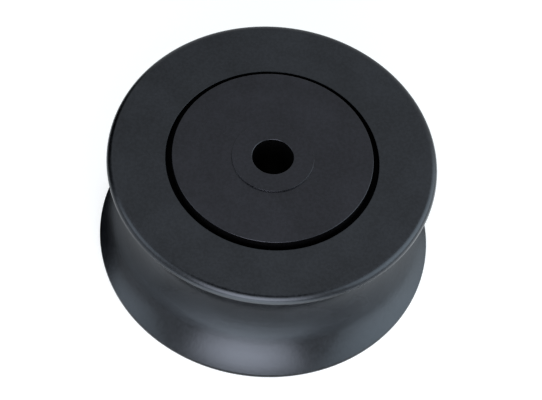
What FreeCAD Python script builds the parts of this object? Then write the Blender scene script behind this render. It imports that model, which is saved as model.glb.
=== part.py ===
"""Grooved pulley wheel that turns on a clamped hub, with two sealed ball bearings inside.

The wheel lies on its side. The origin is on the bore's centre line at mid-width, with +Z along
the bore. Everything is round about Z, and the lower half mirrors the upper half.
"""

import FreeCAD, Part
import math
import os

from FreeCAD import Vector

# Wheel
WHEEL_DIAMETER = 100.0
WHEEL_WIDTH = 45.0
RIM_HEIGHT = 2.8            # from the flange's flat face down to the groove's edge
RIM_ROUNDING = 2.2          # between the flat face and the outside diameter
GROOVE_DEPTH = 10.0
GROOVE_EDGE_BREAK = 0.25

# Recess in each face that the hub cover sits in
RECESS_DIAMETER = 64.6
RECESS_DEPTH = 3.6
RECESS_EDGE_BREAK = 0.25

# Hub cover
COVER_GAP = 1.8             # radial gap round the cover
COVER_PROUD = 1.5           # cover's face above the wheel's flat face
COVER_FLOOR_GAP = 1.0       # running gap between the cover's back and the recess floor
COVER_EDGE_BREAK = 0.3
BOSS_DIAMETER = 25.0
BOSS_HEIGHT = 0.5
BOSS_EDGE_BREAK = 0.12
BOLT_DIAMETER = 12.0
BOLT_CLEARANCE = 0.25       # radial
BORE_EDGE_BREAK = 0.3
NECK_STEP = 0.2             # neck radius below the inner ring's land
NECK_FILLET = 1.0           # where the neck meets the cover's back
SPIGOT_END_GAP = 0.1        # each spigot stops this far from mid-width, so the rings take the clamping
SPIGOT_LEAD_IN = 0.5

# Ball bearing
BEARING_BORE = 20.0
BEARING_DIAMETER = 42.0
BEARING_WIDTH = 12.0
RING_CORNER = 0.6
BALL_SHARE = 0.5773         # ball's diameter, as a share of the space between bore and outside
BALL_COUNT = 9
BALL_CLEARANCE = 0.03       # between a ball and the bottom of each race
RACE_CONFORMITY = 0.52      # race radius as a share of the ball's diameter
SHOULDER_SHARE = 0.3        # shoulder's distance from the pitch circle, as a share of the ball

# Seals
SEAL_THICKNESS = 0.7
SEAL_INSET = 0.4            # seal's outer face below the ring's face
SEAL_GROOVE_DEPTH = 1.2     # into the outer ring, from its shoulder
SEAL_MOUTH_STEP = 0.35      # the groove's mouth is this much narrower than its bottom
SEAL_LAND_DEPTH = 0.9       # step on the inner ring under the seal's lip
SEAL_LAND_MARGIN = 0.4      # the step starts this far behind the seal
SEAL_LIP_GAP = 0.3
SEAL_DISH = 0.18            # the outer face is dished this deep between its two edges

# Cage
CAGE_SHARE = 0.38           # cage's radial thickness, as a share of the ball's diameter
CAGE_SEAL_GAP = 0.4         # between the cage's back and the seal
CAGE_POCKET_GAP = 0.15
CAGE_GRIP = 0.6             # horns' height above the ball's centre, as a share of the pocket's radius
CAGE_SLOT_WIDTH = 1.4       # between neighbouring horns
CAGE_SLOT_DEPTH = 3.0

# Circlip for a bore
CIRCLIP_THICKNESS = 1.75
CIRCLIP_GROOVE_SLACK = 0.1
CIRCLIP_GROOVE_DEPTH = 1.25
CIRCLIP_BACK_WIDTH = 4.1    # radial, opposite the gap
CIRCLIP_ARM_WIDTH = 2.4     # radial, beside the lugs
CIRCLIP_LUG_REACH = 5.8     # from the outside edge to the lug's tip
CIRCLIP_LUG_WIDTH = 5.0
CIRCLIP_HOLE_DIAMETER = 2.5
CIRCLIP_GAP_WIDTH = 7.0

# Between the bearings
RIB_SHARE = 0.297           # rib's part of the metal left between the recess floors
RIB_HEIGHT = 2.0            # inward from the bearing seat
SEAT_LEAD_IN = 0.5          # chamfer at the mouth of the bearing seat
SPACER_WALL = 2.6

# Worked out from the sizes above
WHEEL_RADIUS = WHEEL_DIAMETER / 2
HALF_WIDTH = WHEEL_WIDTH / 2
WAIST_RADIUS = WHEEL_RADIUS - GROOVE_DEPTH
RECESS_RADIUS = RECESS_DIAMETER / 2
RECESS_FLOOR = HALF_WIDTH - RECESS_DEPTH

SEAT_RADIUS = BEARING_DIAMETER / 2
CLIP_GROOVE_WIDTH = CIRCLIP_THICKNESS + CIRCLIP_GROOVE_SLACK
METAL_LEFT = RECESS_FLOOR - BEARING_WIDTH - CLIP_GROOVE_WIDTH
RIB_TOP = METAL_LEFT * RIB_SHARE
BEARING_MIDDLE = RIB_TOP + BEARING_WIDTH / 2
BEARING_FACE = RIB_TOP + BEARING_WIDTH
CLIP_GROOVE_RADIUS = SEAT_RADIUS + CIRCLIP_GROOVE_DEPTH
CLIP_GROOVE_TOP = BEARING_FACE + CLIP_GROOVE_WIDTH

BEARING_SECTION = (BEARING_DIAMETER - BEARING_BORE) / 2
BALL_DIAMETER = BALL_SHARE * min(BEARING_SECTION, BEARING_WIDTH)
BALL_RADIUS = BALL_DIAMETER / 2
PITCH_RADIUS = (BEARING_BORE + BEARING_DIAMETER) / 4
RACE_RADIUS = BALL_DIAMETER * RACE_CONFORMITY
INNER_SHOULDER = PITCH_RADIUS - BALL_DIAMETER * SHOULDER_SHARE
OUTER_SHOULDER = PITCH_RADIUS + BALL_DIAMETER * SHOULDER_SHARE
SEAL_LAND_RADIUS = INNER_SHOULDER - SEAL_LAND_DEPTH
SEAL_GROOVE_RADIUS = OUTER_SHOULDER + SEAL_GROOVE_DEPTH
SEAL_TOP = BEARING_WIDTH / 2 - SEAL_INSET
SEAL_BOTTOM = SEAL_TOP - SEAL_THICKNESS
POCKET_RADIUS = BALL_RADIUS + CAGE_POCKET_GAP
HALF_CAGE = BALL_RADIUS * CAGE_SHARE

COVER_RADIUS = RECESS_RADIUS - COVER_GAP
COVER_FACE = HALF_WIDTH + COVER_PROUD
COVER_BACK = RECESS_FLOOR + COVER_FLOOR_GAP
BOSS_FACE = COVER_FACE + BOSS_HEIGHT
BORE_RADIUS = BOLT_DIAMETER / 2 + BOLT_CLEARANCE
NECK_RADIUS = SEAL_LAND_RADIUS - NECK_STEP
SPIGOT_RADIUS = BEARING_BORE / 2

AXIS = Vector(0, 0, 1)
OUTWARD = Vector(1, 0, 0)
CENTRE = Vector(0, 0, 0)


def section_point(r, z):
    """A point of a turned section, r from the axis and z along it."""
    return Vector(r, 0, z)


def line(a, b):
    return Part.LineSegment(section_point(*a), section_point(*b)).toShape()


def arc(a, through, b):
    return Part.Arc(section_point(*a), section_point(*through), section_point(*b)).toShape()


def turned(edges):
    """Revolve a closed section about the bore's centre line."""
    face = Part.Face(Part.Wire(edges))
    return face.revolve(CENTRE, AXIS, 360)


def turned_outline(points):
    """Revolve a section that has straight sides only."""
    closed = points[1:] + points[:1]
    return turned([line(a, b) for a, b in zip(points, closed)])


def turned_ring(inner, outer, bottom, top):
    return turned_outline([(inner, bottom), (outer, bottom), (outer, top), (inner, top)])


def corner_arc(centre, radius, start, end):
    """An arc about a centre of the section, with its angles in degrees from +r towards +z."""
    angles = (start, (start + end) / 2, end)
    points = [(centre[0] + radius * math.cos(math.radians(a)),
               centre[1] + radius * math.sin(math.radians(a))) for a in angles]
    return arc(*points)


def around(shape, count):
    """Copies of a shape, evenly spaced about the bore's centre line."""
    copies = []
    for index in range(count):
        copy = shape.copy()
        copy.rotate(CENTRE, AXIS, 360 * index / count)
        copies.append(copy)
    return copies


def groove_half_section():
    """Edges of the upper half of the rope groove, from mid-width out to the wheel's rim.

    The groove is one round hollow whose radius follows from its width and depth. A small break
    takes off the sharp edge where it comes out at the rim.
    """
    edge_height = HALF_WIDTH - RIM_HEIGHT
    groove_radius = (edge_height ** 2 + GROOVE_DEPTH ** 2) / (2 * GROOVE_DEPTH)
    centre = (WAIST_RADIUS + groove_radius, 0)
    to_edge = math.atan2(edge_height, WHEEL_RADIUS - centre[0])
    to_break = to_edge + GROOVE_EDGE_BREAK / groove_radius
    break_start = (centre[0] + groove_radius * math.cos(to_break), groove_radius * math.sin(to_break))
    break_end = (WHEEL_RADIUS, edge_height + GROOVE_EDGE_BREAK)
    return [
        corner_arc(centre, groove_radius, 180, math.degrees(to_break)),
        line(break_start, break_end),
    ], break_end


def upper_wheel_half():
    """The wheel above mid-width: groove, rounded rim, recess, circlip groove, bearing seat and rib."""
    groove, rim_start = groove_half_section()
    rim_centre = (WHEEL_RADIUS - RIM_ROUNDING, HALF_WIDTH - RIM_ROUNDING)
    inside = [
        (WHEEL_RADIUS - RIM_ROUNDING, HALF_WIDTH),
        (RECESS_RADIUS + RECESS_EDGE_BREAK, HALF_WIDTH),
        (RECESS_RADIUS, HALF_WIDTH - RECESS_EDGE_BREAK),
        (RECESS_RADIUS, RECESS_FLOOR),
        (SEAT_RADIUS + SEAT_LEAD_IN, RECESS_FLOOR),
        (SEAT_RADIUS, RECESS_FLOOR - SEAT_LEAD_IN),
        (SEAT_RADIUS, CLIP_GROOVE_TOP),
        (CLIP_GROOVE_RADIUS, CLIP_GROOVE_TOP),
        (CLIP_GROOVE_RADIUS, BEARING_FACE),
        (SEAT_RADIUS, BEARING_FACE),
        (SEAT_RADIUS, RIB_TOP),
        (SEAT_RADIUS - RIB_HEIGHT, RIB_TOP),
        (SEAT_RADIUS - RIB_HEIGHT, 0),
        (WAIST_RADIUS, 0),
    ]
    rim = [
        line(rim_start, (WHEEL_RADIUS, rim_centre[1])),
        corner_arc(rim_centre, RIM_ROUNDING, 0, 90),
    ]
    return turned(groove + rim + [line(a, b) for a, b in zip(inside, inside[1:])])


def mirrored(shape):
    """The same piece on the lower side of mid-width."""
    return shape.mirror(CENTRE, AXIS)


def sheave():
    upper = upper_wheel_half()
    return upper.fuse(mirrored(upper)).removeSplitter()


def upper_hub_cover():
    """Disc with a low boss, and a neck and spigot behind it that reach into the bearing."""
    neck_corner = (NECK_RADIUS + NECK_FILLET, COVER_BACK - NECK_FILLET)
    outside = [
        (NECK_RADIUS + NECK_FILLET, COVER_BACK),
        (COVER_RADIUS - COVER_EDGE_BREAK, COVER_BACK),
        (COVER_RADIUS, COVER_BACK + COVER_EDGE_BREAK),
        (COVER_RADIUS, COVER_FACE - COVER_EDGE_BREAK),
        (COVER_RADIUS - COVER_EDGE_BREAK, COVER_FACE),
        (BOSS_DIAMETER / 2, COVER_FACE),
        (BOSS_DIAMETER / 2, BOSS_FACE - BOSS_EDGE_BREAK),
        (BOSS_DIAMETER / 2 - BOSS_EDGE_BREAK, BOSS_FACE),
        (BORE_RADIUS + BORE_EDGE_BREAK, BOSS_FACE),
        (BORE_RADIUS, BOSS_FACE - BORE_EDGE_BREAK),
        (BORE_RADIUS, SPIGOT_END_GAP),
        (SPIGOT_RADIUS - SPIGOT_LEAD_IN, SPIGOT_END_GAP),
        (SPIGOT_RADIUS, SPIGOT_END_GAP + SPIGOT_LEAD_IN),
        (SPIGOT_RADIUS, BEARING_FACE),
        (NECK_RADIUS, BEARING_FACE),
        (NECK_RADIUS, neck_corner[1]),
    ]
    edges = [line(a, b) for a, b in zip(outside, outside[1:])]
    edges.append(corner_arc(neck_corner, NECK_FILLET, 180, 90))
    return turned(edges)


def inner_spacer():
    """Plain ring that holds the two inner rings apart."""
    return turned_ring(SPIGOT_RADIUS, SPIGOT_RADIUS + SPACER_WALL, -RIB_TOP, RIB_TOP)


def race(bottom_radius, direction):
    """What a race takes out of a ring; direction is +1 on the inner ring and -1 on the outer."""
    return Part.makeTorus(bottom_radius + direction * RACE_RADIUS, RACE_RADIUS, CENTRE, AXIS)


def inner_ring():
    """Bearing inner ring about its own middle, with a ball race and a land for each seal's lip."""
    half = BEARING_WIDTH / 2
    bore = BEARING_BORE / 2
    land = SEAL_BOTTOM - SEAL_LAND_MARGIN
    upper = [
        (INNER_SHOULDER, land),
        (SEAL_LAND_RADIUS, land),
        (SEAL_LAND_RADIUS, half),
        (bore + RING_CORNER, half),
        (bore, half - RING_CORNER),
    ]
    lower = [(r, -z) for r, z in reversed(upper)]
    blank = turned_outline(upper + lower)
    return blank.cut(race(PITCH_RADIUS - BALL_RADIUS - BALL_CLEARANCE, 1))


def outer_ring():
    """Bearing outer ring about its own middle, with a ball race and a snap groove for each seal."""
    half = BEARING_WIDTH / 2
    mouth = SEAL_GROOVE_RADIUS - SEAL_MOUTH_STEP
    upper = [
        (SEAT_RADIUS, half - RING_CORNER),
        (SEAT_RADIUS - RING_CORNER, half),
        (mouth, half),
        (mouth, SEAL_TOP),
        (SEAL_GROOVE_RADIUS, SEAL_TOP),
        (SEAL_GROOVE_RADIUS, SEAL_BOTTOM),
        (OUTER_SHOULDER, SEAL_BOTTOM),
    ]
    lower = [(r, -z) for r, z in reversed(upper)]
    blank = turned_outline(upper + lower)
    return blank.cut(race(PITCH_RADIUS + BALL_RADIUS + BALL_CLEARANCE, -1))


def seal():
    """Rubber-covered washer in the bearing's upper side, snapped into the outer ring."""
    inner = SEAL_LAND_RADIUS + SEAL_LIP_GAP
    return turned_outline([
        (SEAL_GROOVE_RADIUS, SEAL_BOTTOM),
        (SEAL_GROOVE_RADIUS, SEAL_TOP),
        (OUTER_SHOULDER, SEAL_TOP),
        (OUTER_SHOULDER - SEAL_DISH, SEAL_TOP - SEAL_DISH),
        (INNER_SHOULDER + SEAL_DISH, SEAL_TOP - SEAL_DISH),
        (INNER_SHOULDER, SEAL_TOP),
        (inner, SEAL_TOP),
        (inner, SEAL_BOTTOM),
    ])


def ball_centre():
    return Vector(PITCH_RADIUS, 0, 0)


def ball():
    return Part.makeSphere(BALL_RADIUS, ball_centre())


def ball_cage():
    """Moulded crown: a ring with a round pocket for each ball, open towards +Z between two horns."""
    horn_top = POCKET_RADIUS * CAGE_GRIP
    back = CAGE_SEAL_GAP - SEAL_BOTTOM
    blank = turned_ring(PITCH_RADIUS - HALF_CAGE, PITCH_RADIUS + HALF_CAGE, back, horn_top)
    pocket = Part.makeSphere(POCKET_RADIUS, ball_centre())
    slot_floor = horn_top - CAGE_SLOT_DEPTH
    slot_length = 2 * PITCH_RADIUS
    slot_end = Part.makeCylinder(CAGE_SLOT_WIDTH / 2, slot_length, Vector(0, 0, slot_floor), OUTWARD)
    slot_side = Part.makeBox(slot_length, CAGE_SLOT_WIDTH, 2 * CAGE_SLOT_DEPTH,
                             Vector(0, -CAGE_SLOT_WIDTH / 2, slot_floor))
    slot = slot_end.fuse(slot_side)
    slot.rotate(CENTRE, AXIS, 180 / BALL_COUNT)
    return blank.cut(around(pocket, BALL_COUNT)).cut(around(slot, BALL_COUNT))


def upper_circlip():
    """Spring ring for a bore: an off-centre inside edge, and two lugs with holes beside the gap."""
    bottom = BEARING_FACE
    height = CIRCLIP_THICKNESS
    base = Vector(0, 0, bottom)
    outside = Part.makeCylinder(CLIP_GROOVE_RADIUS, height, base)
    inside_radius = CLIP_GROOVE_RADIUS - (CIRCLIP_BACK_WIDTH + CIRCLIP_ARM_WIDTH) / 2
    inside_offset = (CIRCLIP_BACK_WIDTH - CIRCLIP_ARM_WIDTH) / 2
    inside = Part.makeCylinder(inside_radius, height, base + Vector(inside_offset, 0, 0))
    ring = outside.cut(inside)

    lug_radius = CIRCLIP_LUG_REACH / 2
    lug_orbit = CLIP_GROOVE_RADIUS - lug_radius
    half_gap = CIRCLIP_GAP_WIDTH / 2
    turn = math.degrees(math.asin((half_gap + CIRCLIP_LUG_WIDTH / 2) / lug_orbit))
    gap = Part.makeBox(CLIP_GROOVE_RADIUS, CIRCLIP_GAP_WIDTH, height, Vector(0, -half_gap, bottom))
    for side in (-1, 1):
        middle = Vector(lug_orbit, 0, bottom)
        lug = Part.makeCylinder(CIRCLIP_LUG_WIDTH / 2, height, middle)
        root = Part.makeBox(lug_radius, CIRCLIP_LUG_WIDTH, height,
                            Vector(lug_orbit, -CIRCLIP_LUG_WIDTH / 2, bottom))
        lug = lug.fuse(root).common(outside)
        lug.rotate(CENTRE, AXIS, side * turn)
        ring = ring.fuse(lug)
    ring = ring.cut(gap)
    for side in (-1, 1):
        hole = Part.makeCylinder(CIRCLIP_HOLE_DIAMETER / 2, height, Vector(lug_orbit, 0, bottom))
        hole.rotate(CENTRE, AXIS, side * turn)
        ring = ring.cut(hole)
    return ring.removeSplitter()


def upper_bearing():
    """The upper bearing's pieces at their place, by name."""
    pieces = {
        "outer_ring": outer_ring(),
        "inner_ring": inner_ring(),
        "ball_cage": ball_cage(),
        "outboard_seal": seal(),
        "inboard_seal": mirrored(seal()),
    }
    for number, shape in enumerate(around(ball(), BALL_COUNT), start=1):
        pieces[f"ball_{number}"] = shape
    for shape in pieces.values():
        shape.translate(Vector(0, 0, BEARING_MIDDLE))
    return pieces


def all_pieces():
    pieces = {"sheave": sheave(), "inner_spacer": inner_spacer()}
    upper = {"hub_cover": upper_hub_cover(), "circlip": upper_circlip()}
    upper.update(upper_bearing())
    for name, shape in upper.items():
        pieces[f"upper_{name}"] = shape
        pieces[f"lower_{name}"] = mirrored(shape)
    return pieces


os.makedirs("parts", exist_ok=True)
for node, solid in all_pieces().items():
    solid.exportStep(f"parts/{node}.step")
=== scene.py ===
import math

import bpy
from mathutils import Matrix, Vector


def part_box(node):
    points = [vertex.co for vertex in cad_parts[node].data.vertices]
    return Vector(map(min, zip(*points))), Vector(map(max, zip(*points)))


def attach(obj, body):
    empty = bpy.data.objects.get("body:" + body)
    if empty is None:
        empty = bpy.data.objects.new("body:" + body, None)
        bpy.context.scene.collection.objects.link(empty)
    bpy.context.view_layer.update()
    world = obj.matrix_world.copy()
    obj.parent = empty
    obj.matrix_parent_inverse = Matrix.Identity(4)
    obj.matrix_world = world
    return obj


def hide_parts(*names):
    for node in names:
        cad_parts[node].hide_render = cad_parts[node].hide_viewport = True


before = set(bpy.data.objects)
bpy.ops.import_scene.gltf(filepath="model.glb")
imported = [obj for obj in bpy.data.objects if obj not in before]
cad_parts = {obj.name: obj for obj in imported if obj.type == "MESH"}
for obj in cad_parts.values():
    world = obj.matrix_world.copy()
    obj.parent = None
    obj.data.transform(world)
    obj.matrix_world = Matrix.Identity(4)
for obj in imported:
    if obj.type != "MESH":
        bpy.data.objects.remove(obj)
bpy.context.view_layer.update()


# The grooved wheel is turned from one aluminium blank on a lathe: two flat faces, a generous radius
# round each rim and one smooth rope groove between them. It is hard-anodised black all over, a satin
# finish that still shows the tool's fine rings, and it turns with the bearings' outer rings.
wheel_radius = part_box("sheave")[1].x
wheel_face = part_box("sheave")[1].z
seat_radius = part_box("upper_outer_ring")[1].x
rib_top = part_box("upper_outer_ring")[0].z
bearing_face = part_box("upper_outer_ring")[1].z
circlip_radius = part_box("upper_circlip")[1].y
circlip_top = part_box("upper_circlip")[1].z
rib_height = 0.002
rib_radius = seat_radius - rib_height
recess_radius = 0.0323
recess_depth = 0.0036
recess_floor = wheel_face - recess_depth
seat_lead_in = 0.0005
rim_height = 0.0028
rim_rounding = 0.0022
groove_edge = wheel_face - rim_height
groove_depth = 0.010
groove_radius = (groove_edge ** 2 + groove_depth ** 2) / (2 * groove_depth)
fine_edge_break = 0.0001
edge_break = 0.0002
wide_edge_break = 0.0003
turning_steps = 256


def rounded_section(corners):
    """Points and outward normals along a closed section, from its corners as (radius, height, rounding).

    The corners run with the metal on the left. A wide rounding gets finer steps than an edge break.
    """
    largest_edge_break = 0.001
    fine_step, coarse_step = math.radians(4), math.radians(18)
    points, normals = [], []
    for index, (r, z, rounding) in enumerate(corners):
        corner = Vector((r, z))
        arriving = (corner - Vector(corners[index - 1][:2])).normalized()
        leaving = (Vector(corners[(index + 1) % len(corners)][:2]) - corner).normalized()
        turn = math.atan2(arriving.cross(leaving), arriving.dot(leaving))
        side = math.copysign(rounding, turn)
        left = Vector((-arriving.y, arriving.x))
        centre = corner - arriving * rounding * math.tan(abs(turn) / 2) + left * side
        steps = math.ceil(abs(turn) / (fine_step if rounding > largest_edge_break else coarse_step))
        for step in range(steps + 1):
            angle = math.atan2(-left.y, -left.x) + turn * step / steps
            normal = Vector((math.cos(angle), math.sin(angle)))
            points.append(centre + normal * side)
            normals.append(normal)
    return points, normals


def turned_piece(name, corners):
    """A mesh turned about the bore's centre line, shaded by the section's own normals."""
    points, normals = rounded_section(corners)
    ring = len(points)
    places, directions, faces = [], [], []
    for step in range(turning_steps):
        angle = 2 * math.pi * step / turning_steps
        cosine, sine = math.cos(angle), math.sin(angle)
        places += [(p.x * cosine, p.x * sine, p.y) for p in points]
        directions += [(n.x * cosine, n.x * sine, n.y) for n in normals]
        here, there = step * ring, (step + 1) % turning_steps * ring
        for k in range(ring):
            after = (k + 1) % ring
            faces.append((here + k, there + k, there + after, here + after))
    mesh = bpy.data.meshes.new(name)
    mesh.from_pydata(places, [], faces)
    mesh.shade_smooth()
    mesh.normals_split_custom_set_from_vertices(directions)
    piece = bpy.data.objects.new(name, mesh)
    bpy.context.scene.collection.objects.link(piece)
    return piece


def mirrored_section(corners):
    """The same section on the other side of mid-width."""
    return [(r, -z, rounding) for r, z, rounding in reversed(corners)]


upper_wheel_section = [
    (wheel_radius, groove_edge, edge_break),
    (wheel_radius, wheel_face, rim_rounding),
    (recess_radius, wheel_face, edge_break),
    (recess_radius, recess_floor, wide_edge_break),
    (seat_radius + seat_lead_in, recess_floor, fine_edge_break),
    (seat_radius, recess_floor - seat_lead_in, fine_edge_break),
    (seat_radius, circlip_top, fine_edge_break),
    (circlip_radius, circlip_top, fine_edge_break),
    (circlip_radius, bearing_face, fine_edge_break),
    (seat_radius, bearing_face, fine_edge_break),
    (seat_radius, rib_top, edge_break),
    (rib_radius, rib_top, edge_break),
]
# The groove is one corner of the section, where the tangents at its two edges meet, rounded by its arc.
groove_turn = math.asin(groove_edge / groove_radius) - edge_break / groove_radius
groove_centre = wheel_radius - groove_depth + groove_radius
groove = (groove_centre - groove_radius / math.cos(groove_turn), 0, groove_radius)
wheel = turned_piece("turned_sheave",
                     [groove] + upper_wheel_section + mirrored_section(upper_wheel_section))
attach(wheel, "wheel")
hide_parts("sheave")


def new_material(name):
    """A node material, its node tree and its Principled shader."""
    material = bpy.data.materials.new(name)
    material.use_nodes = True
    return material, material.node_tree, material.node_tree.nodes["Principled BSDF"]


def math_node(tree, operation, first, second=0.0):
    """One step of arithmetic, in which each side is a number or another node's output."""
    node = tree.nodes.new("ShaderNodeMath")
    node.operation = operation
    for socket, value in zip(node.inputs, (first, second)):
        if isinstance(value, (int, float)):
            socket.default_value = value
        else:
            tree.links.new(value, socket)
    return node.outputs["Value"]


def noise_node(tree, place, scale, detail):
    """Cloudy noise about 0.5. The scale is in clouds to the metre."""
    node = tree.nodes.new("ShaderNodeTexNoise")
    node.inputs["Scale"].default_value = scale
    node.inputs["Detail"].default_value = detail
    tree.links.new(place, node.inputs["Vector"])
    return node.outputs["Fac"]


def object_place(tree):
    """A point's place on its own piece, which moves with it."""
    return tree.nodes.new("ShaderNodeTexCoord").outputs["Object"]


def section_place(tree):
    """A point's distance from the bore's centre line and its height: the same all the way round."""
    split = tree.nodes.new("ShaderNodeSeparateXYZ")
    tree.links.new(object_place(tree), split.inputs[0])
    squares = math_node(tree, "ADD", math_node(tree, "POWER", split.outputs["X"], 2.0),
                        math_node(tree, "POWER", split.outputs["Y"], 2.0))
    join = tree.nodes.new("ShaderNodeCombineXYZ")
    tree.links.new(math_node(tree, "SQRT", squares), join.inputs["X"])
    tree.links.new(split.outputs["Z"], join.inputs["Y"])
    return join.outputs["Vector"]


def between(tree, amount, low, high):
    """Low to high as the amount goes from 0 to 1."""
    node = tree.nodes.new("ShaderNodeMapRange")
    node.inputs["To Min"].default_value = low
    node.inputs["To Max"].default_value = high
    tree.links.new(amount, node.inputs["Value"])
    return node.outputs["Result"]


def spread(tree, noise):
    """Noise keeps near its middle: this stretches it to the whole range from 0 to 1."""
    usual_low, usual_high = 0.38, 0.62
    node = tree.nodes.new("ShaderNodeMapRange")
    node.inputs["From Min"].default_value = usual_low
    node.inputs["From Max"].default_value = usual_high
    tree.links.new(noise, node.inputs["Value"])
    return node.outputs["Result"]


def half_of_each(tree, first, second):
    """The mean of two patterns."""
    return math_node(tree, "MULTIPLY", math_node(tree, "ADD", first, second), 0.5)


def shade_between(tree, amount, dark, light):
    """The dark shade to the light one as the amount goes from 0 to 1."""
    node = tree.nodes.new("ShaderNodeMix")
    node.data_type = "RGBA"
    node.inputs["A"].default_value = (*dark, 1)
    node.inputs["B"].default_value = (*light, 1)
    tree.links.new(amount, node.inputs["Factor"])
    return node.outputs["Result"]


def raise_surface(tree, shader, height, depth):
    """Bump, with that depth in metres to one unit of height."""
    bump = tree.nodes.new("ShaderNodeBump")
    bump.inputs["Strength"].default_value = 1.0
    bump.inputs["Distance"].default_value = depth
    tree.links.new(height, bump.inputs["Height"])
    tree.links.new(bump.outputs["Normal"], shader.inputs["Normal"])


def black_anodising(name, roughness, gloss, tint, dark, light):
    """Black hard anodising over turned aluminium: fine tool rings, a slight mottle and a dull grain."""
    unevenness = 0.05
    material, tree, shader = new_material(name)
    fine_rings = noise_node(tree, section_place(tree), scale=5200, detail=3.0)
    wide_rings = noise_node(tree, section_place(tree), scale=700, detail=2.0)
    mottle = noise_node(tree, object_place(tree), scale=70, detail=4.0)
    speckle = noise_node(tree, object_place(tree), scale=1100, detail=2.0)
    grain = noise_node(tree, object_place(tree), scale=2600, detail=2.0)
    dye = half_of_each(tree, spread(tree, mottle), spread(tree, speckle))
    tree.links.new(shade_between(tree, dye, dark, light), shader.inputs["Base Color"])
    sheen = half_of_each(tree, spread(tree, wide_rings), mottle)
    tree.links.new(between(tree, sheen, roughness - unevenness, roughness + unevenness),
                   shader.inputs["Roughness"])
    coarse = half_of_each(tree, spread(tree, speckle), spread(tree, wide_rings))
    relief = math_node(tree, "ADD", half_of_each(tree, fine_rings, grain), coarse)
    raise_surface(tree, shader, relief, depth=0.000012)
    shader.inputs["IOR"].default_value = 1.5
    shader.inputs["Specular IOR Level"].default_value = gloss
    shader.inputs["Specular Tint"].default_value = (*tint, 1)
    return material


wheel_black = black_anodising("wheel_black", roughness=0.22, gloss=0.5, tint=(0.78, 0.87, 1.0),
                              dark=(0.0004, 0.0005, 0.0007), light=(0.0102, 0.0115, 0.0138))
wheel.data.materials.append(wheel_black)

# Inside the recess and the bores the finish is rougher, with its colour and gloss cut near to nothing:
# painted shade.
painted_shade_black = black_anodising("painted_shade_black", roughness=0.60, gloss=0.03, tint=(0.80, 0.87, 1.0),
                             dark=(0.0006, 0.0006, 0.0007), light=(0.0014, 0.0014, 0.0016))
face_tolerance = 0.00001


def paint_shade_inside(piece, inner, outer, height):
    """The faces between two radii and within a height from mid-width take the matt finish with painted
    shade.

    The tolerance takes in flat faces whose middles lie a little inside a round wall's radius.
    """
    if painted_shade_black.name not in piece.data.materials:
        piece.data.materials.append(painted_shade_black)
    for face in piece.data.polygons:
        if inner < face.center.xy.length < outer and abs(face.center.z) < height:
            face.material_index = 1


# The wheel's recess, seat and bore are painted with shade.
paint_shade_inside(wheel, inner=0, outer=recess_radius + face_tolerance, height=wheel_face - edge_break)


# Each deep-groove ball bearing has two rings of hardened chrome steel. Their faces, bores and outsides
# are ground bright, with the grinding wheel's fine lines running round them. The outer ring is a press
# fit in the wheel, and the inner ring is clamped to the hub.
def ground_steel():
    material, tree, shader = new_material("ground_steel")
    lines = noise_node(tree, section_place(tree), scale=16000, detail=2.0)
    haze = noise_node(tree, object_place(tree), scale=180, detail=3.0)
    tree.links.new(shade_between(tree, haze, dark=(0.47, 0.48, 0.50), light=(0.60, 0.61, 0.62)),
                   shader.inputs["Base Color"])
    tree.links.new(between(tree, lines, 0.16, 0.34), shader.inputs["Roughness"])
    raise_surface(tree, shader, lines, depth=0.0000015)
    shader.inputs["Metallic"].default_value = 1.0
    return material


def give_finish(node, material):
    """A carried-over piece takes this material in place of its plain one."""
    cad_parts[node].data.materials.clear()
    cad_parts[node].data.materials.append(material)


ring_steel = ground_steel()
for side in ("upper", "lower"):
    give_finish(f"{side}_outer_ring", ring_steel)
    give_finish(f"{side}_inner_ring", ring_steel)


# The balls are lapped chrome steel, near mirror bright, nine to each bearing. A thin, uneven film of
# grease dulls them in places.
balls_in_bearing = 9


def lapped_steel():
    material, tree, shader = new_material("lapped_steel")
    film = noise_node(tree, object_place(tree), scale=420, detail=3.0)
    tree.links.new(shade_between(tree, film, dark=(0.60, 0.61, 0.62), light=(0.66, 0.66, 0.65)),
                   shader.inputs["Base Color"])
    tree.links.new(between(tree, film, 0.04, 0.20), shader.inputs["Roughness"])
    shader.inputs["Metallic"].default_value = 1.0
    return material


ball_steel = lapped_steel()
for side in ("upper", "lower"):
    for number in range(1, balls_in_bearing + 1):
        give_finish(f"{side}_ball_{number}", ball_steel)


# A snap-in cage of moulded glass-filled nylon keeps the balls apart. It is a dull ivory, with the fine
# cloudy grain that the glass fibres leave on the surface.
def moulded_nylon():
    material, tree, shader = new_material("moulded_nylon")
    cloud = noise_node(tree, object_place(tree), scale=900, detail=4.0)
    fibres = noise_node(tree, object_place(tree), scale=6000, detail=2.0)
    tree.links.new(shade_between(tree, cloud, dark=(0.50, 0.44, 0.31), light=(0.66, 0.60, 0.46)),
                   shader.inputs["Base Color"])
    tree.links.new(between(tree, fibres, 0.38, 0.58), shader.inputs["Roughness"])
    raise_surface(tree, shader, fibres, depth=0.000008)
    return material


nylon = moulded_nylon()
for side in ("upper", "lower"):
    give_finish(f"{side}_ball_cage", nylon)


# Both sides of each bearing are closed by a nitrile rubber seal on a steel washer. The rubber is
# charcoal and matt, with shallow rings from its mould.
def moulded_rubber():
    material, tree, shader = new_material("moulded_rubber")
    rings = noise_node(tree, section_place(tree), scale=2400, detail=1.0)
    bloom = noise_node(tree, object_place(tree), scale=350, detail=4.0)
    tree.links.new(shade_between(tree, bloom, dark=(0.018, 0.018, 0.019), light=(0.035, 0.035, 0.034)),
                   shader.inputs["Base Color"])
    tree.links.new(between(tree, bloom, 0.52, 0.72), shader.inputs["Roughness"])
    raise_surface(tree, shader, rings, depth=0.00002)
    return material


rubber = moulded_rubber()
for side in ("upper", "lower"):
    for place in ("outboard", "inboard"):
        give_finish(f"{side}_{place}_seal", rubber)


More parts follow.
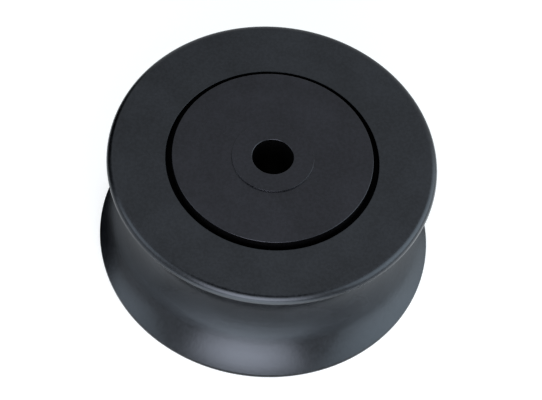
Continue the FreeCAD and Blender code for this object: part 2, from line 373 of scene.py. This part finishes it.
# A plain aluminium ring between the inner rings takes the clamping load. It is sawn from tube and
# faced on the lathe, and it is left bright.
def turned_aluminium():
    material, tree, shader = new_material("turned_aluminium")
    rings = noise_node(tree, section_place(tree), scale=7000, detail=2.0)
    stain = noise_node(tree, object_place(tree), scale=240, detail=3.0)
    tree.links.new(shade_between(tree, stain, dark=(0.68, 0.69, 0.70), light=(0.80, 0.81, 0.82)),
                   shader.inputs["Base Color"])
    tree.links.new(between(tree, rings, 0.25, 0.42), shader.inputs["Roughness"])
    raise_surface(tree, shader, rings, depth=0.000006)
    shader.inputs["Metallic"].default_value = 1.0
    return material


give_finish("inner_spacer", turned_aluminium())


# A circlip in front of each bearing keeps it on its seat. It is punched from spring steel strip, and
# phosphated and oiled, which leaves it dark grey with a soft, crystalline grain.
def phosphated_steel():
    material, tree, shader = new_material("phosphated_steel")
    crystals = noise_node(tree, object_place(tree), scale=5000, detail=3.0)
    oil = noise_node(tree, object_place(tree), scale=260, detail=3.0)
    tree.links.new(shade_between(tree, oil, dark=(0.055, 0.056, 0.060), light=(0.095, 0.096, 0.100)),
                   shader.inputs["Base Color"])
    tree.links.new(between(tree, crystals, 0.34, 0.56), shader.inputs["Roughness"])
    raise_surface(tree, shader, crystals, depth=0.000004)
    shader.inputs["Metallic"].default_value = 0.8
    return material


spring_steel = phosphated_steel()
for side in ("upper", "lower"):
    give_finish(f"{side}_circlip", spring_steel)


# The two hub covers are turned from the same bar and anodised like the wheel. Each is a disc with a
# low boss, and a spigot behind it that goes through the bearing: a bolt through the bore clamps them
# together against the inner rings, so they stay still while the wheel turns.
cover_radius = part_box("upper_hub_cover")[1].x
boss_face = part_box("upper_hub_cover")[1].z
spigot_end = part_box("upper_hub_cover")[0].z
boss_height = 0.0005
cover_face = boss_face - boss_height
cover_clearance = 0.001
cover_back = recess_floor + cover_clearance
boss_radius = 0.0125
boss_foot = 0.00005
bore_radius = 0.00625
neck_radius = 0.01251
neck_fillet = 0.001
spacer_wall = 0.0026
spigot_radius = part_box("inner_spacer")[1].x - spacer_wall
spigot_nose = 0.0005

cover_section = [
    (spigot_radius, spigot_end, spigot_nose),
    (spigot_radius, bearing_face, fine_edge_break),
    (neck_radius, bearing_face, edge_break),
    (neck_radius, cover_back, neck_fillet),
    (cover_radius, cover_back, wide_edge_break),
    (cover_radius, cover_face, edge_break),
    (boss_radius, cover_face, boss_foot),
    (boss_radius, boss_face, fine_edge_break),
    (bore_radius, boss_face, wide_edge_break),
    (bore_radius, spigot_end, edge_break),
]
cover_black = black_anodising("cover_black", roughness=0.24, gloss=0.46, tint=(0.80, 0.85, 1.0),
                              dark=(0.0004, 0.0005, 0.0007), light=(0.0090, 0.0095, 0.0123))
for side, section in (("upper", cover_section), ("lower", mirrored_section(cover_section))):
    cover = turned_piece(f"turned_{side}_cover", section)
    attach(cover, "hub")
    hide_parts(f"{side}_hub_cover")
    cover.data.materials.append(cover_black)
    # The cover's side wall in the gap and its bore are painted with shade.
    paint_shade_inside(cover, inner=cover_radius - face_tolerance, outer=cover_radius + face_tolerance,
                height=cover_face - edge_break)
    paint_shade_inside(cover, inner=0, outer=bore_radius + face_tolerance, height=boss_face - wide_edge_break)


# The wheel lies on a sheet of white paper that reaches out of the picture on every side. The paper
# catches the wheel's soft shadow, and it is lit up to plain white for the camera and in reflections.
floor_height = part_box("lower_hub_cover")[0].z
paper_width = 6.0
paper_shade = (0.45, 0.49, 0.51)
gap_under_boss = 0.00002


def seen_white(tree, in_camera, in_reflections):
    """Strength of the white background for the camera's rays, and for rays off or through a surface."""
    rays = tree.nodes.new("ShaderNodeLightPath")
    second_hand = math_node(tree, "ADD", rays.outputs["Is Glossy Ray"],
                            rays.outputs["Is Transmission Ray"])
    return math_node(tree, "ADD", math_node(tree, "MULTIPLY", rays.outputs["Is Camera Ray"], in_camera),
                     math_node(tree, "MULTIPLY", second_hand, in_reflections))


bpy.ops.mesh.primitive_plane_add(size=paper_width, location=(0, 0, floor_height - gap_under_boss))
paper = bpy.context.object
paper.name = "paper"
sheet = bpy.data.materials.new("white_paper")
sheet.use_nodes = True
sheet_tree = sheet.node_tree
sheet_tree.nodes.clear()
surface = sheet_tree.nodes.new("ShaderNodeOutputMaterial")
matt = sheet_tree.nodes.new("ShaderNodeBsdfDiffuse")
matt.inputs["Color"].default_value = (*paper_shade, 1)
glow = sheet_tree.nodes.new("ShaderNodeEmission")
both = sheet_tree.nodes.new("ShaderNodeAddShader")
sheet_tree.links.new(seen_white(sheet_tree, in_camera=0.74, in_reflections=0.38), glow.inputs["Strength"])
sheet_tree.links.new(matt.outputs[0], both.inputs[0])
sheet_tree.links.new(glow.outputs[0], both.inputs[1])
sheet_tree.links.new(both.outputs[0], surface.inputs["Surface"])
paper.data.materials.append(sheet)


# White walls stand far round the table. They are dim as a light, plain white to the camera and a little
# less than white in reflections.
wall_light = 0.25
world = bpy.data.worlds[0] if bpy.data.worlds else bpy.data.worlds.new("studio")
bpy.context.scene.world = world
world.use_nodes = True
walls = world.node_tree.nodes["Background"]
walls.inputs["Color"].default_value = (1, 1, 1, 1)
wall_strength = math_node(world.node_tree, "ADD",
                          seen_white(world.node_tree, in_camera=0.75, in_reflections=0.55), wall_light)
world.node_tree.links.new(wall_strength, walls.inputs["Strength"])


# Soft boxes stand round the wheel, each brightest in the middle and fading towards its edges: a strong
# one close in front, a wide one on the right, and a weak one on the left.
def facing_wheel(azimuth, elevation, distance):
    """A place that far from the wheel's middle, and the turn that faces the wheel from there."""
    around, up = math.radians(azimuth), math.radians(elevation)
    direction = Vector((math.cos(around) * math.cos(up), math.sin(around) * math.cos(up), math.sin(up)))
    turn = (-direction).to_track_quat("-Z", "Y").to_matrix().to_4x4()
    return Matrix.Translation(distance * direction) @ turn


def fading(tree, spot, middle, edge):
    """Strength at a spot between 0 and 1 both ways: one value in the middle, another at the edge."""
    split = tree.nodes.new("ShaderNodeSeparateXYZ")
    tree.links.new(spot, split.inputs[0])
    strength = middle - edge
    for way in ("X", "Y"):
        wave = math_node(tree, "SINE", math_node(tree, "MULTIPLY", split.outputs[way], math.pi))
        strength = math_node(tree, "MULTIPLY", strength, wave)
    return math_node(tree, "ADD", strength, edge)


def softbox(name, place, width, height, middle, edge, colour):
    """A lamp that the camera doesn't see. A strength of 1 is as bright as the white background."""
    lamp = bpy.data.lights.new(name, "AREA")
    lamp.shape = "RECTANGLE"
    lamp.size, lamp.size_y = width, height
    lamp.energy = math.pi * width * height
    lamp.color = colour
    lamp.use_nodes = True
    tree = lamp.node_tree
    spot = tree.nodes.new("ShaderNodeNewGeometry").outputs["Parametric"]
    tree.links.new(fading(tree, spot, middle, edge), tree.nodes["Emission"].inputs["Strength"])
    box = bpy.data.objects.new(name, lamp)
    box.matrix_world = place
    box.visible_camera = False
    bpy.context.scene.collection.objects.link(box)


softbox("front_box", facing_wheel(azimuth=-92, elevation=20, distance=0.40),
        width=0.50, height=0.45, middle=6.2, edge=0.5, colour=(0.97, 0.95, 1.0))
softbox("right_box", facing_wheel(azimuth=2, elevation=24, distance=0.60),
        width=1.00, height=0.75, middle=2.7, edge=0.8, colour=(0.84, 0.95, 1.0))
softbox("left_box", facing_wheel(azimuth=192, elevation=30, distance=0.60),
        width=0.42, height=0.45, middle=1.6, edge=0.7, colour=(0.86, 0.95, 1.0))


# Cards that only reflections see shape what the wheel mirrors, and put no light on it. Two glow on the
# table. Three are black, as the dark parts of a room are: by the groove's far left end, overhead for the
# dark line along the rim, and behind to shade the faces a little. A fourth, close in front under the rim,
# is a painted shadow: the wheel's own shadow on the table, which only reflections see.
card_glow = (0.92, 0.97, 1.0)


def on_table(across, along, lift):
    """A place just over the table, where a card faces upwards."""
    return Matrix.Translation((across, along, floor_height + lift))


def reflected_card(name, place, width, height, brightness, cover):
    """A card that thins out towards its edges.

    Cover is how dense its middle is: over 1 makes a full patch there.
    """
    bpy.ops.mesh.primitive_plane_add(size=1.0)
    card = bpy.context.object
    card.name = name
    card.matrix_world = place @ Matrix.Diagonal((width, height, 1, 1))
    card.visible_camera = False
    card.visible_diffuse = False
    card.visible_shadow = False
    material, tree, shader = new_material(name)
    shader.inputs["Base Color"].default_value = (0, 0, 0, 1)
    shader.inputs["Roughness"].default_value = 1.0
    shader.inputs["Specular IOR Level"].default_value = 0.0
    shader.inputs["Emission Color"].default_value = (*card_glow, 1)
    shader.inputs["Emission Strength"].default_value = brightness
    spot = tree.nodes.new("ShaderNodeTexCoord").outputs["Generated"]
    density = math_node(tree, "MINIMUM", fading(tree, spot, cover, 0.0), 1.0)
    tree.links.new(density, shader.inputs["Alpha"])
    card.data.materials.append(material)


reflected_card("front_glow", on_table(across=-0.006, along=-0.189, lift=0.001),
               width=0.20, height=0.288, brightness=4.3, cover=1.0)
reflected_card("right_glow", on_table(across=0.13, along=0.02, lift=0.001),
               width=0.16, height=0.22, brightness=1.6, cover=1.0)
reflected_card("left_dark", facing_wheel(azimuth=153, elevation=12, distance=0.17),
               width=0.21, height=0.19, brightness=0.0, cover=1.8)
reflected_card("overhead_dark", facing_wheel(azimuth=-97, elevation=71, distance=0.60),
               width=0.50, height=0.37, brightness=0.0, cover=1.8)
reflected_card("back_dark", facing_wheel(azimuth=106, elevation=46, distance=0.36),
               width=0.25, height=0.25, brightness=0.0, cover=0.26)
# The wheel's shadow on the table under the rim, painted as a dark card that only reflections see.
reflected_card("front_painted_shadow", on_table(across=0.002, along=-0.054, lift=0.0015),
               width=0.15, height=0.048, brightness=0.0, cover=0.45)


# The camera looks down on the wheel from 56 degrees up, through a long lens, and is turned a little
# about its own line of sight.
camera_elevation = math.radians(56.43)
camera_roll = math.radians(6.95)
camera_distance = 2.4199
shift_right, shift_up = -0.00044, -0.01199
back = Vector((0, -math.cos(camera_elevation), math.sin(camera_elevation)))
level_up = Vector((0, math.sin(camera_elevation), math.cos(camera_elevation)))
right = math.cos(camera_roll) * Vector((1, 0, 0)) + math.sin(camera_roll) * level_up
up = back.cross(right)
camera_place = Vector((0, 0, wheel_face)) + shift_right * right + shift_up * up + camera_distance * back
lens = bpy.data.cameras.new("camera")
lens.sensor_width = 36.0
lens.lens = 533.1
camera = bpy.data.objects.new("camera", lens)
bpy.context.scene.collection.objects.link(camera)
camera.matrix_world = (Matrix.Translation(camera_place)
                       @ Matrix((right, up, back)).transposed().to_4x4())
bpy.context.scene.camera = camera
bpy.context.scene.view_settings.view_transform = "Standard"
